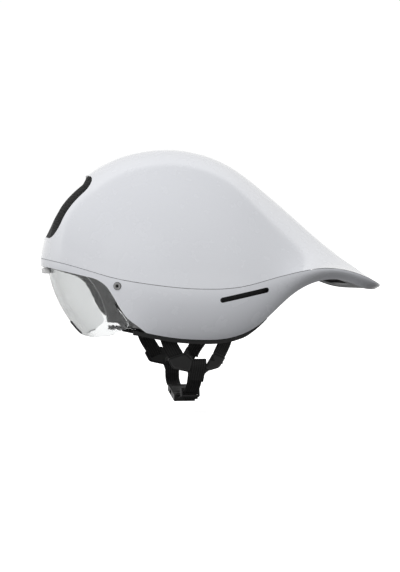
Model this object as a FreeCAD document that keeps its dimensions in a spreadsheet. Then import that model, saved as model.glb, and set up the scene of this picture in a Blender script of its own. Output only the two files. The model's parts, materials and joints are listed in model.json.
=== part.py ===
import FreeCAD, Part
import Sketcher
import math
import os
from FreeCAD import Placement, Rotation, Vector

# Time-trial cycling helmet. The nose points along -X, the tail along +X and the crown along +Z.
# The origin is the centre of the wearer's head at ear height. The wearer's left side is -Y.
# All lengths are millimetres.

DIMENSIONS = {
    "shell_wall": 2.4,
    "seam_gap": 0.5,
    "inner_gap": 0.4,
    "lens_wall": 2.2,
    "head_length": 200.0,
    "head_width": 160.0,
    "head_rise": 108.0,
    "head_centre_height": 20.0,
    "pad_thickness": 5.2,
    "pocket_depth": 15.5,
    "intake_width": 76.0,
    "intake_height": 76.0,
    "intake_corner": 20.0,
    "intake_ring_wall": 3.0,
    "intake_depth": 6.0,
    "vent_length": 14.0,
    "vent_width": 32.0,
    "side_slot_height": 5.2,
    "trim_height": 4.4,
    "tail_panel_wall": 3.0,
    "screw_head_diameter": 7.6,
    "screw_head_height": 1.8,
    "screw_shank_diameter": 3.6,
    "screw_length": 13.0,
    "screw_recess_diameter": 2.6,
    "bush_diameter": 7.0,
    "bush_length": 4.4,
    "nut_diameter": 9.0,
    "nut_length": 3.0,
    "ear_hole_diameter": 9.0,
    "webbing_width": 15.0,
    "webbing_thickness": 1.2,
    "rivet_diameter": 7.0,
    "rivet_length": 2.2,
    "wing_length": 20.0,
    "wing_height": 14.0,
    "divider_thickness": 3.6,
    "divider_body_width": 18.0,
    "divider_body_height": 19.0,
    "buckle_width": 22.0,
    "buckle_thickness": 7.0,
    "socket_length": 30.0,
    "socket_cavity_length": 21.0,
    "socket_cavity_width": 18.4,
    "socket_cavity_height": 3.8,
    "plug_base_length": 12.0,
    "prong_length": 18.0,
    "prong_width": 5.5,
    "arm_width": 3.0,
    "prong_thickness": 3.0,
    "strap_slot_width": 3.0,
    "keeper_wall": 1.6,
    "keeper_length": 6.0,
    "knob_diameter": 26.0,
    "knob_height": 7.0,
    "knob_flute_diameter": 4.0,
    "housing_diameter": 26.0,
    "housing_height": 6.0,
    "spool_diameter": 10.0,
    "spool_height": 3.6,
    "shaft_diameter": 5.0,
}

# Lines plan: seam point | crown point | lower edge point, at stations from the nose to the tail.
LINES = (
    ((-128.4, 0.0, 46.6), (-128.4, 46.6), (-86.0, 0.0, -32.5)),
    ((-124.8, 25.0, 45.4), (-122.9, 71.0), (-84.0, 26.0, -33.0)),
    ((-109.8, 55.0, 41.2), (-110.7, 103.0), (-77.5, 52.0, -32.5)),
    ((-86.9, 78.0, 34.0), (-85.0, 128.5), (-66.5, 75.0, -29.5)),
    ((-61.2, 93.0, 26.5), (-56.0, 146.2), (-52.0, 91.0, -25.0)),
    ((-32.0, 103.0, 21.5), (-28.4, 155.0), (-30.0, 92.5, -28.0)),
    ((-3.0, 107.5, 18.0), (0.0, 158.2), (-5.0, 91.0, -32.5)),
    ((27.0, 107.5, 16.5), (30.0, 155.2), (22.0, 89.0, -34.5)),
    ((60.0, 104.0, 18.5), (62.0, 143.8), (52.0, 85.0, -33.0)),
    ((92.0, 96.5, 26.0), (92.0, 123.6), (85.0, 79.5, -19.0)),
    ((122.0, 91.5, 33.2), (122.0, 99.0), (117.0, 77.0, 9.0)),
    ((150.0, 92.5, 37.0), (150.0, 74.6), (147.0, 79.5, 24.0)),
    ((174.0, 91.0, 34.0), (174.0, 54.6), (172.0, 80.0, 23.9)),
    ((195.0, 82.0, 27.3), (195.0, 39.6), (192.0, 71.0, 17.0)),
    ((210.0, 64.0, 21.5), (209.0, 29.8), (206.0, 54.0, 14.6)),
    ((219.5, 36.0, 18.6), (218.5, 23.8), (215.5, 31.0, 14.4)),
    ((224.4, 0.0, 17.8), (224.4, 17.8), (220.0, 0.0, 14.3)),
)

# Section form at each station: rise and lean of the dome at the seam, spread at the crown,
# and how straight the lower band is. The dome is round at the front and bell-shaped at the tail.
ROUND = (0.55, 0.00, 0.55, 0.0)
FORMS = (ROUND,) * 8 + (
    (0.54, 0.02, 0.53, 0.0),
    (0.46, 0.08, 0.50, 0.2),
    (0.28, 0.24, 0.44, 0.6),
    (0.13, 0.42, 0.36, 1.0),
    (0.10, 0.45, 0.36, 1.0),
    (0.14, 0.42, 0.40, 1.0),
    (0.20, 0.40, 0.42, 1.0),
    (0.30, 0.35, 0.45, 1.0),
    (0.30, 0.35, 0.45, 1.0),
)

# Side-view outlines, as (x, z).
VISOR_CORNERS = ((-142, 42.0), (-75, 24.5), (-54, -12.0), (-24, -34.0))
VISOR_RADII = (28.0, 36.0)
LENS_TOP = ((-140, 45.0), (-124, 43.6), (-106, 39.0), (-90, 34.5), (-76, 30.2))
LENS_REAR = ((-56.0, 9.5), (-61.0, 4.0), (-64.0, 2.0))
LENS_HEEL = ((-58.0, -7.0), (-52.5, -15.0), (-51.0, -19.0), (-52.5, -22.5), (-56.0, -25.0), (-63.0, -28.5))
PIVOT = (-62.4, 19.4)
SIDE_SLOT = ((41.4, 5.3), (87.6, 15.0))
FACE_CUT = ((-150, 40.5), (-112, 40.0), (-92, 36.0), (-74, 27.0), (-60, 10.0), (-52, -10.0), (-46, -60.0))

INTAKE_CENTRE = Vector(-103.9, 0, 99.2)
INTAKE_AXIS = Vector(-0.839, 0, 0.544)
VENT_CENTRE = Vector(70.0, 0, 139.4)
VENT_AXIS = Vector(0.53, 0, 0.848)
TRIM_ENDS = (-46.0, 92.0)
DIAL_HEIGHT = 8.0
BUCKLE_MOUTH = Vector(18.5, -2.0, -94.8)
BUCKLE_TILT = 12.0
SIDES = (("left", -1), ("right", 1))

doc = FreeCAD.newDocument("time_trial_helmet")
sheet = doc.addObject("Spreadsheet::Sheet", "dims")
for row, (alias, number) in enumerate(DIMENSIONS.items(), start=1):
    sheet.set(f"A{row}", alias)
    sheet.set(f"B{row}", str(number))
    sheet.setAlias(f"B{row}", alias)
doc.recompute()
parts = []


def size(alias):
    return float(sheet.get(alias))


def point(xyz):
    return Vector(*xyz)


def mirrored(p):
    return Vector(p.x, -p.y, p.z)


# ---- shell surfaces -------------------------------------------------------------------------

def inward(flat, i):
    """Unit normal of a 2-D row of points at point i, towards the inside."""
    before, after = flat[max(i - 1, 0)], flat[min(i + 1, len(flat) - 1)]
    dx, dy = after[0] - before[0], after[1] - before[1]
    length = math.hypot(dx, dy)
    return dy / length, -dx / length


def plan_row(column, depths):
    """Side row of the lines plan, moved inwards in plan by a depth for each station."""
    row = [line[column] for line in LINES]
    flat = [(p[0], p[1]) for p in row]
    around = [(flat[1][0], -flat[1][1])] + flat + [(flat[-2][0], -flat[-2][1])]
    moved = []
    for i, (p, depth) in enumerate(zip(row, depths)):
        nx, ny = inward(around, i + 1)
        on_centre = i in (0, len(row) - 1)
        moved.append(Vector(p[0] + depth * nx, 0.0 if on_centre else p[1] + depth * ny, p[2]))
    return moved


def even_depths(depth):
    """The same depth at each station, except that the thin tail never takes more than 3 mm."""
    tail = min(depth, 3.0)
    return [depth] * 10 + [(depth + tail) / 2] + [tail] * (len(LINES) - 11)


def crown_row(depths, first, last):
    flat = [line[1] for line in LINES]
    moved = []
    for i, ((x, z), depth) in enumerate(zip(flat, depths)):
        nx, nz = inward(flat, i)
        moved.append(Vector(x + depth * nx, 0, z + depth * nz))
    moved[0], moved[-1] = first, last
    return moved


def dome_section(edge, crown, form):
    rise, lean, spread, _ = form
    flank = Vector(edge.x + 0.9 * (crown.x - edge.x), edge.y * (1 - lean), edge.z + rise * (crown.z - edge.z))
    shoulder = Vector(crown.x, edge.y * spread, crown.z)
    return [edge, flank, shoulder]


def band_section(edge, low, form):
    straight = form[3]
    drop = low - edge

    def between(plan, height):
        plan += straight * (round(plan * 3) / 3 - plan)
        height += straight * (round(height * 3) / 3 - height)
        return Vector(edge.x + plan * drop.x, edge.y + plan * drop.y, edge.z + height * drop.z)

    return [edge, between(0.0, 0.40), between(0.55, 0.82), low]


def station_parameters():
    """Curve parameter of each station, from 0 to 1, and the length that they stand for."""
    seams = [point(line[0]) for line in LINES]
    crowns = [Vector(line[1][0], 0, line[1][1]) for line in LINES]
    steps = [0.0]
    for i in range(1, len(LINES)):
        step = (seams[i] - seams[i - 1]).Length + (crowns[i] - crowns[i - 1]).Length
        steps.append(steps[-1] + step / 2)
    return [s / steps[-1] for s in steps], steps[-1]


def control_curves(sections, starts, ends, parameters):
    curves = []
    for k in range(len(sections[0])):
        curve = Part.BSplineCurve()
        curve.interpolate(Points=[s[k] for s in sections], Parameters=parameters,
                          InitialTangent=starts[k], FinalTangent=ends[k], Scale=False)
        curves.append(curve)
    return curves


def dome_curves(depth=0.0, down=0.0):
    depths = even_depths(depth)
    edges = [p - Vector(0, 0, down) for p in plan_row(0, depths)]
    crowns = crown_row(depths, edges[0], edges[-1])
    parameters, length = station_parameters()
    sections = [dome_section(e, c, f) for e, c, f in zip(edges, crowns, FORMS)]
    up_nose = (crowns[1] - crowns[0]).normalize() * length
    down_tail = (crowns[-1] - crowns[-2]).normalize() * length
    starts = dome_section(Vector(0, length, 0), up_nose, FORMS[0])
    ends = dome_section(Vector(0, -length, 0), down_tail, FORMS[-1])
    return control_curves(sections, starts, ends, parameters)


def band_curves(depths, up=0.0, down=0.0, low_depths=None):
    edges = plan_row(0, depths)
    lows = plan_row(2, low_depths or depths)
    parameters, length = station_parameters()
    sections = []
    for edge, low, form in zip(edges, lows, FORMS):
        longer = (low - edge).normalize() * down
        sections.append(band_section(edge + Vector(0, 0, up), low + longer, form))
    return control_curves(sections, [Vector(0, length, 0)] * 4, [Vector(0, -length, 0)] * 4, parameters)


def skin(curves, across, knots, degree, left=False):
    """Face through control curves: cubic along them and of the given degree across them."""
    surface = Part.BSplineSurface()
    first = curves[0]
    rows = [c.getPoles() for c in curves]
    if left:
        rows = [[mirrored(p) for p in r] for r in rows]
    poles = [[r[i] for r in rows] for i in range(len(rows[0]))]
    surface.buildFromPolesMultsKnots(poles, first.getMultiplicities(), across, first.getKnots(), knots,
                                     False, False, 3, degree)
    return surface.toShape()


def mirror_curve(curve):
    other = curve.copy()
    for i, pole in enumerate(curve.getPoles(), start=1):
        other.setPole(i, mirrored(pole))
    return other


def ruled(a, b, left=False):
    return skin([a, b], [2, 2], [0, 1], 1, left)


def closed_solid(faces):
    body = Part.Compound(faces)
    body.sewShape()
    made = Part.Solid(Part.Shell(body.Faces))
    if made.Volume < 0:
        made.reverse()
    return made


def dome_face(curves):
    other_side = [mirror_curve(c) for c in reversed(curves)]
    return skin(curves + other_side, [4, 2, 4], [0, 1, 2], 3)


def band_faces(curves):
    return [skin(curves, [4, 4], [0, 1], 3, left) for left in (False, True)]


def dome_volume(depth, down=0.0):
    curves = dome_curves(depth, down)
    return closed_solid([dome_face(curves), ruled(curves[0], mirror_curve(curves[0]))])


def band_volume(depth, up, down):
    curves = band_curves(even_depths(depth), up, down)
    lids = [ruled(c, mirror_curve(c)) for c in (curves[0], curves[-1])]
    return closed_solid(band_faces(curves) + lids)


def dome_layer(region, outer, inner):
    """The part of a region that lies between two depths under the dome."""
    return region.common(dome_volume(outer, 6.0)).cut(dome_volume(inner, 6.0))


def band_wall(a, b):
    rims = [ruled(a[k], b[k], left) for k in (0, -1) for left in (False, True)]
    return closed_solid(band_faces(a) + band_faces(b) + rims)


def inner_volume(depth, floor):
    """Whole inside of the helmet at a depth under the skin, with its floor raised above the lower edge."""
    return dome_volume(depth, 6.0).fuse(band_volume(depth, -1.0, -floor))


# ---- cutters --------------------------------------------------------------------------------

def side_prism(wire, half_width=130.0):
    """Solid across the whole width from a closed side-view wire in the XZ plane."""
    face = Part.Face(wire)
    face.translate(Vector(0, -half_width, 0))
    return face.extrude(Vector(0, 2 * half_width, 0))


def side_curve(points):
    curve = Part.BSplineCurve()
    curve.interpolate([Vector(x, 0, z) for x, z in points])
    return curve.toShape()


def side_arcs(corners, radii):
    """Straight runs from corner to corner, with each inner corner rounded to its radius."""
    points = [Vector(x, 0, z) for x, z in corners]
    edges, start = [], points[0]
    for before, corner, after, radius in zip(points, points[1:], points[2:], radii):
        back, ahead = (before - corner).normalize(), (after - corner).normalize()
        half = back.getAngle(ahead) / 2
        reach = radius / math.tan(half)
        inner = corner + (back + ahead).normalize() * (radius / math.sin(half) - radius)
        edges.append(Part.LineSegment(start, corner + back * reach).toShape())
        edges.append(Part.Arc(corner + back * reach, inner, corner + ahead * reach).toShape())
        start = corner + ahead * reach
    return edges + [Part.LineSegment(start, points[-1]).toShape()]


def side_lines(points):
    return [Part.LineSegment(Vector(a[0], 0, a[1]), Vector(b[0], 0, b[1])).toShape()
            for a, b in zip(points, points[1:])]


def round_bar(centre, axis, diameter, reach):
    start = centre - axis * reach
    return Part.makeCylinder(diameter / 2, 2 * reach, start, axis)


def intake_bar(grow=0.0, reach=45.0):
    """Bar with rounded corners through the forehead intake, grown by a wall."""
    wide, tall = size("intake_width") + 2 * grow, size("intake_height") + 2 * grow
    bar = Part.makeBox(tall, wide, 2 * reach, Vector(1.0 - tall / 2, -wide / 2, 0))
    corners = [e for e in bar.Edges if abs(e.tangentAt(0).z) > 0.9]
    bar = bar.makeFillet(size("intake_corner") + grow, corners)
    turn = Rotation(Vector(0, 0, 1), INTAKE_AXIS)
    bar.Placement = Placement(INTAKE_CENTRE - INTAKE_AXIS * reach, turn)
    return bar


def slot_bar(a, b, width, half_length, centre_y=0.0):
    """Bar along Y whose side view is a slot with round ends from a to b."""
    start, end = Vector(a[0], 0, a[1]), Vector(b[0], 0, b[1])
    along = (end - start).normalize()
    half = Vector(-along.z, 0, along.x) * (width / 2)
    tip = along * (width / 2)
    edges = [Part.LineSegment(start + half, end + half).toShape(),
             Part.Arc(end + half, end + tip, end - half).toShape(),
             Part.LineSegment(end - half, start - half).toShape(),
             Part.Arc(start - half, start - tip, start + half).toShape()]
    face = Part.Face(Part.Wire(edges))
    face.translate(Vector(0, centre_y - half_length, 0))
    return face.extrude(Vector(0, 2 * half_length, 0))


def box(low, high):
    return Part.makeBox(high[0] - low[0], high[1] - low[1], high[2] - low[2], point(low))


def ellipsoid(shrink):
    """Head ellipsoid, made smaller all round."""
    ball = Part.makeSphere(1.0)
    scale = FreeCAD.Matrix()
    scale.scale(size("head_length") / 2 - shrink, size("head_width") / 2 - shrink, size("head_rise") - shrink)
    made = ball.transformGeometry(scale)
    made.translate(Vector(0, 0, size("head_centre_height")))
    return made


def head_tube(shrink, low, high):
    """Upright elliptic cylinder of the head's plan, made smaller all round."""
    tube = Part.makeCylinder(1.0, 1.0)
    scale = FreeCAD.Matrix()
    scale.scale(size("head_length") / 2 - shrink, size("head_width") / 2 - shrink, high - low)
    made = tube.transformGeometry(scale)
    made.translate(Vector(0, 0, low))
    return made


# ---- document objects -----------------------------------------------------------------------

def add_shape(label, shape):
    feature = doc.addObject("Part::Feature", label)
    feature.Shape = shape
    feature.Placement = Placement()
    parts.append(feature)
    return feature


def cylinder(name, diameter, height, at=Vector(), rotation=Rotation()):
    made = doc.addObject("Part::Cylinder", name)
    made.setExpression("Radius", f"dims.{diameter} / 2")
    made.setExpression("Height", height)
    made.Placement = Placement(at, rotation)
    return made


def block(name, length, width, height, at=Vector(), rotation=Rotation()):
    """Box with sizes from the sheet, centred on its place in all three directions."""
    made = doc.addObject("Part::Box", name)
    for side, rule in (("Length", length), ("Width", width), ("Height", height)):
        made.setExpression(side, rule)
    doc.recompute()
    centre = Vector(made.Length.Value, made.Width.Value, made.Height.Value) * -0.5
    made.Placement = Placement(at + rotation.multVec(centre), rotation)
    return made


def union(label, shapes):
    made = doc.addObject("Part::MultiFuse", label)
    made.Shapes = shapes
    return made


def difference(label, base, tool):
    made = doc.addObject("Part::Cut", label)
    made.Base, made.Tool = base, tool
    return made


def finish_part(made, placement):
    made.Placement = placement
    parts.append(made)
    return made


# ---- shells and lens ------------------------------------------------------------------------

def vent_cutter(grow=0.0):
    half = size("vent_length") / 2 + grow
    across = size("vent_width") / 2 + grow
    cut = Part.makeBox(2 * half, 2 * across, 40.0, Vector(-half, -across, -20.0))
    upright = [e for e in cut.Edges if abs(e.tangentAt(e.FirstParameter).z) > 0.9]
    cut = cut.makeFillet(half * 0.8, upright)
    cut.Placement = Placement(VENT_CENTRE, Rotation(Vector(0, 0, 1), VENT_AXIS))
    return cut


def upper_shell():
    shell = dome_volume(0.0).cut(dome_volume(size("shell_wall"), 6.0))
    shell = shell.cut(intake_bar())
    return shell.cut(vent_cutter())


def visor_prism():
    top = side_arcs(VISOR_CORNERS, VISOR_RADII)
    corners = [VISOR_CORNERS[-1], (-150, -70.0), (-150, 39.0), VISOR_CORNERS[0]]
    return side_prism(Part.Wire(top + side_lines(corners)))


def temple_point(side):
    """Where the pivot screw meets the outside of the band, and the plan normal there."""
    line = Part.LineSegment(Vector(PIVOT[0], 60 * side, PIVOT[1]), Vector(PIVOT[0], 120 * side, PIVOT[1]))
    face = skin(band_curves([0.0] * len(LINES)), [4, 4], [0, 1], 3, side < 0)
    hit = face.distToShape(line.toShape())[1][0][0]
    u, v = face.Surface.parameter(hit)
    normal = face.Surface.normal(u, v)
    normal = Vector(normal.x, normal.y, 0).normalize()
    return hit, normal if normal.y * side > 0 else normal * -1


def lower_shell():
    thickness, gap = size("shell_wall"), size("seam_gap")
    count = len(LINES)
    shell = band_wall(band_curves([0.0] * count, -gap), band_curves([thickness] * count, -gap))
    shell = shell.cut(visor_prism())
    shell = shell.cut(slot_bar(*SIDE_SLOT, size("side_slot_height"), 130.0))
    for _, side in SIDES:
        hit, normal = temple_point(side)
        shell = shell.cut(round_bar(hit, normal, size("screw_shank_diameter") + 0.4, 8.0))
        spot = Part.makeCylinder(size("screw_head_diameter") / 2 + 0.3, 6.0, hit - normal * 1.0, normal)
        shell = shell.cut(spot)
    return shell


def lens_depths(front, rear):
    return [front, front, front - 1.0, (front + rear) / 2] + [rear] * (len(LINES) - 4)


def lens_wall(outwards=0.0, wall=None):
    wall = wall or size("lens_wall")
    top, low = lens_depths(7.0, 3.4), lens_depths(1.5, 2.2)
    a = band_curves([d - outwards for d in top], low_depths=[d - outwards for d in low])
    b = band_curves([d - outwards + wall for d in top], low_depths=[d - outwards + wall for d in low])
    return band_wall(a, b)


def lens_prism():
    """Side view of the lens: brow edge, round ear at the pivot, rear heel and open front."""
    ear = 9.5
    px, pz = PIVOT
    arc = Part.Arc(Vector(px - 3.0, 0, pz + 9.0), Vector(px + ear * 0.72, 0, pz + ear * 0.69),
                   Vector(px + ear, 0, pz - 1.5)).toShape()
    top = side_curve(LENS_TOP + ((px - 3.0, pz + 9.0),))
    rear = side_curve(((px + ear, pz - 1.5),) + LENS_REAR)
    heel = side_curve((LENS_REAR[-1],) + LENS_HEEL)
    corners = [LENS_HEEL[-1], (-70, -60.0), (-140, -60.0), LENS_TOP[0]]
    return side_prism(Part.Wire([top, arc, rear, heel] + side_lines(corners)))


def visor_lens():
    lens = lens_wall().common(lens_prism())
    for _, side in SIDES:
        hit, normal = temple_point(side)
        lens = lens.cut(round_bar(hit, normal, size("ear_hole_diameter"), 14.0))
    return lens


def thumb_pad():
    """Small plain grip strip on the lens, low on its centre line."""
    strip = lens_wall(outwards=1.0, wall=0.98)
    return strip.common(box((-110, -5.0, -31.0), (-70, 5.0, -18.5)))


def brow_clip():
    """Tongue behind the brow edge, with a lip that closes the gap above the lens."""
    count = len(LINES)
    tongue = band_wall(band_curves([2.8] * count), band_curves([5.0] * count))
    lip = band_wall(band_curves([0.2] * count), band_curves([5.4] * count))
    clip = tongue.common(box((-140, -13.0, 31.5), (-100, 13.0, 44.0)))
    return clip.fuse(lip.common(box((-140, -14.0, 31.0), (-100, 14.0, 36.2))))


# ---- liner, vents and trims -----------------------------------------------------------------

def liner():
    depth = size("shell_wall") + size("inner_gap")
    body = inner_volume(depth, 3.0)
    body = body.cut(ellipsoid(0.0)).cut(head_tube(0.0, -80.0, size("head_centre_height")))
    deep = size("pocket_depth")
    pocket = box((-150, -130, -80), (-46, 130, 68)).cut(dome_volume(deep, 4.0)).cut(band_volume(deep, 4.0, 0.0))
    body = body.cut(pocket)
    face = Part.Wire([side_curve(FACE_CUT)] + side_lines([FACE_CUT[-1], (-150, -60.0), FACE_CUT[0]]))
    body = body.cut(side_prism(face))
    body = body.cut(box((126, -130, -40), (240, 130, 140)))
    body = body.cut(box((80, -25, -40), (130, 25, 34)))
    body = body.cut(box((85, -13, 20), (99.5, 13, 52)))
    body = body.cut(intake_bar(4.0).cut(dome_volume(size("intake_depth") + 9.0, 6.0)))
    for _, side in SIDES:
        body = body.cut(slot_bar(*SIDE_SLOT, size("side_slot_height") + 9.0, 14.0, side * 98.0))
    exhaust = vent_cutter(5.0)
    return max(body.cut(exhaust).Solids, key=lambda s: s.Volume)


def liner_block(gap):
    """Everything behind the visor pocket and below the line where the side mouldings join the liner."""
    return box((-46.0, -130.0, -80.0), (240.0, 130.0, 34.0 - gap))


def liner_side(whole, side):
    """Foam moulding for one side of the head, glued under the main liner."""
    solids = whole.common(liner_block(0.1)).Solids
    return max((s for s in solids if s.CenterOfMass.y * side > 0), key=lambda s: s.Volume)


def intake_ring():
    start = size("shell_wall") + 0.1
    ring = intake_bar(size("intake_ring_wall")).cut(intake_bar(0.0, 50.0))
    return dome_layer(ring, start, start + size("intake_depth"))


def intake_mesh():
    depth = size("shell_wall") + 2.8
    return dome_layer(intake_bar(-0.2), depth, depth + 1.4)


def top_vent_mesh():
    start = size("shell_wall") + 0.1
    return dome_layer(vent_cutter(2.5), start, start + 2.0)


def side_vent_tray(side):
    """Closed black tray behind each side slot."""
    depth = size("shell_wall") + 0.1
    outer = slot_bar(*SIDE_SLOT, size("side_slot_height") + 6.0, 30.0, side * 100.0)
    count = len(LINES)
    layer = band_wall(band_curves([depth] * count), band_curves([depth + 5.0] * count)).common(outer)
    hollow = slot_bar(*SIDE_SLOT, size("side_slot_height") + 1.0, 30.0, side * 100.0)
    mouth = band_wall(band_curves([depth - 2.0] * count), band_curves([depth + 3.6] * count)).common(hollow)
    return layer.cut(mouth)


def edge_trim(side):
    """Soft lip that hangs below the lower edge and wraps its inside."""
    low = band_curves([0.0] * len(LINES))[-1]
    height = size("trim_height")
    stations = []
    steps = 24
    for i in range(steps + 1):
        x = TRIM_ENDS[0] + (TRIM_ENDS[1] - TRIM_ENDS[0]) * i / steps
        p = at_x(low, x)
        fade = min(1.0, (TRIM_ENDS[1] - x) / 30.0 + 0.25)
        stations.append((p, height * fade))
    rows = []
    for inset, hang in ((0.9, 0.1), (1.6, 1.0), (6.0, 1.0), (6.4, 0.1)):
        curve = Part.BSplineCurve()
        curve.interpolate([Vector(p.x, side * (p.y - inset), p.z - (drop * hang if hang > 0.5 else hang))
                           for p, drop in stations])
        rows.append(curve)
    faces = [Part.makeRuledSurface(a.toShape(), b.toShape()) for a, b in zip(rows, rows[1:] + rows[:1])]
    for end in (0, -1):
        corners = [(r.StartPoint if end == 0 else r.EndPoint) for r in rows]
        faces.append(Part.Face(Part.makePolygon(corners + corners[:1])))
    return closed_solid(faces)


def at_x(curve, x):
    """Point of a lower-edge curve at a given x."""
    low, high = curve.FirstParameter, curve.LastParameter
    for _ in range(40):
        middle = (low + high) / 2
        if curve.value(middle).x < x:
            low = middle
        else:
            high = middle
    return curve.value(low)


def tail_panel():
    depth = size("shell_wall") + size("inner_gap")
    floor = band_volume(depth, -1.0, -1.0)
    above = floor.copy()
    above.translate(Vector(0, 0, size("tail_panel_wall")))
    panel = floor.cut(above).common(box((129, -130, -40), (240, 130, 60)))
    panel = max(panel.Solids, key=lambda s: s.Volume)
    return panel.cut(exhaust_outline(0.0))


def exhaust_outline(shrink):
    cut = Part.makeBox(52 - 2 * shrink, 104 - 2 * shrink, 120, Vector(136 + shrink, -52 + shrink, -60))
    upright = [e for e in cut.Edges if abs(e.tangentAt(e.FirstParameter).z) > 0.9]
    return cut.makeFillet(20.0 - shrink, upright)


def exhaust_mesh():
    depth = size("shell_wall") + size("inner_gap")
    floor = band_volume(depth, -1.0, -2.2)
    above = floor.copy()
    above.translate(Vector(0, 0, 1.4))
    return floor.common(exhaust_outline(0.3)).cut(above)


# ---- head pads ------------------------------------------------------------------------------

def pad_layer():
    thickness = size("pad_thickness")
    return ellipsoid(0.3).cut(ellipsoid(0.3 + thickness))


PADS = {
    "brow_pad": ((-105, -62, 43), (-40, 62, 62)),
    "crown_pad": ((-52, -13, 80), (52, 13, 140)),
    "crown_pad_left": ((-46, -52, 80), (38, -26, 140)),
    "crown_pad_right": ((-46, 26, 80), (38, 52, 140)),
    "side_pad_left": ((-34, -90, 28), (38, -50, 52)),
    "side_pad_right": ((-34, 50, 28), (38, 90, 52)),
    "rear_pad": ((60, -34, 64), (105, 34, 84)),
}


# ---- fit system -----------------------------------------------------------------------------

def elliptic_wall(outer, inner, low, high):
    return head_tube(outer, low, high).cut(head_tube(inner, low - 1, high + 1))


def fit_arm(side):
    arm = elliptic_wall(4.6, 6.2, 6.0, 18.0)
    return arm.common(box((-38, min(0, side * 100), 0), (82, max(0, side * 100), 30)))


def hanger():
    """Flat tongue that meets the liner at its top end."""
    return box((93.0, -8.0, 28.0), (94.8, 8.0, 60.0)).common(ellipsoid(0.1))


def carriage():
    """Rider that wraps the hanger, with a rail below that the cradle slides along."""
    rider = box((90.2, -11, 30), (96.6, 11, 44)).cut(box((92.6, -8.4, 28), (95.2, 8.4, 46)))
    web = box((88, -5, 25), (92, 5, 31))
    rail = box((76, -5, 24), (92, 5, 26))
    return rider.fuse(web).fuse(rail)


def cradle():
    plate = elliptic_wall(8.2, 11.2, -6.0, 19.0).common(box((60, -37, -10), (110, 37, 30)))
    post = box((88.9, -6, 15), (91.7, 6, 23.6))
    return plate.fuse(post)


def cradle_pad():
    return elliptic_wall(11.5, 15.5, -4.0, 17.0).common(box((60, -34, -10), (110, 34, 30)))


def lace(side):
    ring = elliptic_wall(6.9, 8.1, DIAL_HEIGHT - 0.6, DIAL_HEIGHT + 0.6)
    return ring.common(box((60, min(side * 17, side * 36), 0), (110, max(side * 17, side * 36), 30)))


def dial_housing():
    """Round cup on the back of the cradle that holds the spool."""
    body = doc.addObject("PartDesign::Body", "dial_housing")
    pad_disc(body, "housing_diameter", "housing_height")
    pocket_disc(body, "spool_diameter", "spool_height", 1.2)
    pocket_disc(body, "shaft_diameter", "housing_height", 0.8)
    return finish_part(body, dial_placement(92.3))


def origin_plane(body, role):
    return next(f for f in body.Origin.OriginFeatures if f.Role == role)


def disc_sketch(body, diameter, radius_at=0.0, extra=0.0):
    sketch = body.newObject("Sketcher::SketchObject", diameter.replace("diameter", "outline"))
    sketch.AttachmentSupport = [(origin_plane(body, "XY_Plane"), "")]
    sketch.MapMode = "FlatFace"
    circle = sketch.addGeometry(Part.Circle(Vector(radius_at, 0, 0), Vector(0, 0, 1), size(diameter) / 2))
    rule = sketch.addConstraint(Sketcher.Constraint("Diameter", circle, size(diameter) + extra))
    sketch.setExpression(f"Constraints[{rule}]", f"dims.{diameter} + {extra}")
    return sketch


def pad_disc(body, diameter, height):
    pad = body.newObject("PartDesign::Pad", body.Name + "_pad")
    pad.Profile = disc_sketch(body, diameter)
    pad.setExpression("Length", f"dims.{height}")
    doc.recompute()
    return pad


def pocket_disc(body, diameter, height, extra):
    before = body.Shape.Volume
    pocket = body.newObject("PartDesign::Pocket", diameter.replace("diameter", "pocket"))
    pocket.Profile = disc_sketch(body, diameter, extra=extra)
    pocket.Reversed = True
    pocket.setExpression("Length", f"dims.{height} + 0.8")
    doc.recompute()
    if body.Shape.Volume > before - 1.0:
        raise RuntimeError(f"pocket of {body.Label} removes nothing")


def dial_placement(x):
    """Local +Z along +X, at the dial's height."""
    return Placement(Vector(x, 0, DIAL_HEIGHT), Rotation(Vector(0, 1, 0), 90))


def dial_knob():
    body = doc.addObject("PartDesign::Body", "dial_knob")
    pad_disc(body, "knob_diameter", "knob_height")
    flute = body.newObject("PartDesign::Pocket", "knob_flute")
    flute.Profile = disc_sketch(body, "knob_flute_diameter", size("knob_diameter") / 2 + 0.6)
    flute.Reversed = True
    flute.Type = "ThroughAll"
    doc.recompute()
    around = body.newObject("PartDesign::PolarPattern", "knob_flutes")
    around.Originals = [flute]
    around.Axis = (origin_plane(body, "Z_Axis"), [""])
    around.Occurrences = 16
    body.Tip = around
    return finish_part(body, dial_placement(98.7))


def lace_spool():
    drum = cylinder("spool_drum", "spool_diameter", "dims.spool_height", Vector(0, 0, 0.5))
    shaft = cylinder("spool_shaft", "shaft_diameter", "dims.housing_height - 0.2", Vector(0, 0, 0.5))
    return finish_part(union("lace_spool", [drum, shaft]), dial_placement(92.3))


# ---- temple hardware ------------------------------------------------------------------------

def temple_placement(side, depth):
    """Local +Z points outwards along the shell's plan normal, starting at a depth under the skin."""
    hit, normal = temple_point(side)
    return Placement(hit - normal * depth, Rotation(Vector(0, 0, 1), normal))


def pivot_screw(name, side):
    label = f"pivot_screw_{name}"
    head = cylinder(label + "_head", "screw_head_diameter", "dims.screw_head_height", Vector(0, 0, 0.05))
    shank = cylinder(label + "_shank", "screw_shank_diameter", "dims.screw_length + 0.3")
    shank.setExpression("Placement.Base.z", "-dims.screw_length")
    recess = cylinder(label + "_recess", "screw_recess_diameter", "dims.screw_head_height", Vector(0, 0, 0.9))
    made = difference(label, union(label + "_solid", [head, shank]), recess)
    return finish_part(made, temple_placement(side, 1.0))


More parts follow.
